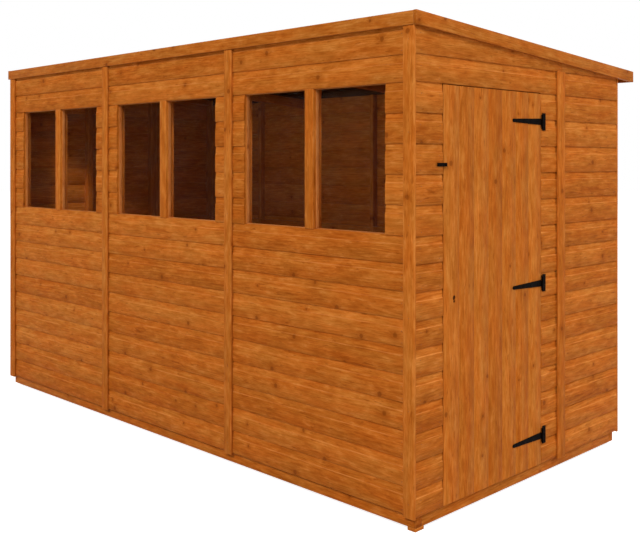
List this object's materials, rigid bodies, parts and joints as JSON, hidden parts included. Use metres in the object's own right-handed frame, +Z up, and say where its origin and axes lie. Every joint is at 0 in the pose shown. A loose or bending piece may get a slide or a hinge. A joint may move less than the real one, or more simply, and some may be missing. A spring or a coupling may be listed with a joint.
{
  "type": "summerhouse",
  "caption": "Pent-roofed timber garden building with a windowed long side and a boarded door in one end.",
  "frame": {"origin": "middle of the floor plan at ground level, on the underside of the middle foot pad", "axes": "+X along the building towards the door end, +Y from the windowed high side towards the low eave, +Z up"},
  "size_m": [3.694, 1.953, 2.212],
  "materials": {
    "cladding": "satin",
    "trim": "satin",
    "framing": "matte",
    "glass": "polished",
    "felt": "matte",
    "ironwork": "satin"
  },
  "bodies": {
    "building": {"foot_pads": "trim", "floor_rim_joists": "trim", "floor_cross_joists": "trim", "floor_boards": "framing", "front_lower_cladding": "cladding", "front_upper_cladding": "cladding", "front_pier_cladding": "cladding", "front_studs": "framing", "front_rails": "framing", "window_jambs": "trim", "window_mullions": "trim", "window_glass": "glass", "front_joint_strips": "trim", "front_corner_strips": "trim", "back_cladding": "cladding", "back_studs": "framing", "back_rails": "framing", "back_joint_strips": "trim", "back_corner_strips": "trim", "left_end_cladding": "cladding", "left_end_studs": "framing", "left_end_rails": "framing", "left_end_strip": "trim", "door_side_cladding": "cladding", "over_door_cladding": "cladding", "end_panel_cladding": "cladding", "right_end_studs": "framing", "right_end_rails": "framing", "right_end_strip": "trim", "door_stops": "framing", "purlins": "framing", "rafters": "framing", "roof_boards": "framing", "roof_felt": "felt", "front_fascia": "trim", "back_fascia": "trim", "left_barge_board": "trim", "right_barge_board": "trim", "hinge_plates": "ironwork"},
    "door": {"door_boards": "cladding", "door_ledges": "framing", "door_braces": "framing", "hinge_straps": "ironwork", "button_pivot": "ironwork"},
    "button": {"turn_button": "ironwork"}
  },
  "joints": [
    {"name": "door_hinge", "type": "hinge", "parent": "building", "child": "door", "pos_m": [1.8345, 0.0995, 1], "axis": [0, 0, 1], "range_deg": [0, 165]},
    {"name": "button_turn", "type": "hinge", "parent": "door", "child": "button", "pos_m": [1.836, -0.6885, 1.56], "axis": [1, 0, 0], "range_deg": [-90, 90]}
  ]
}
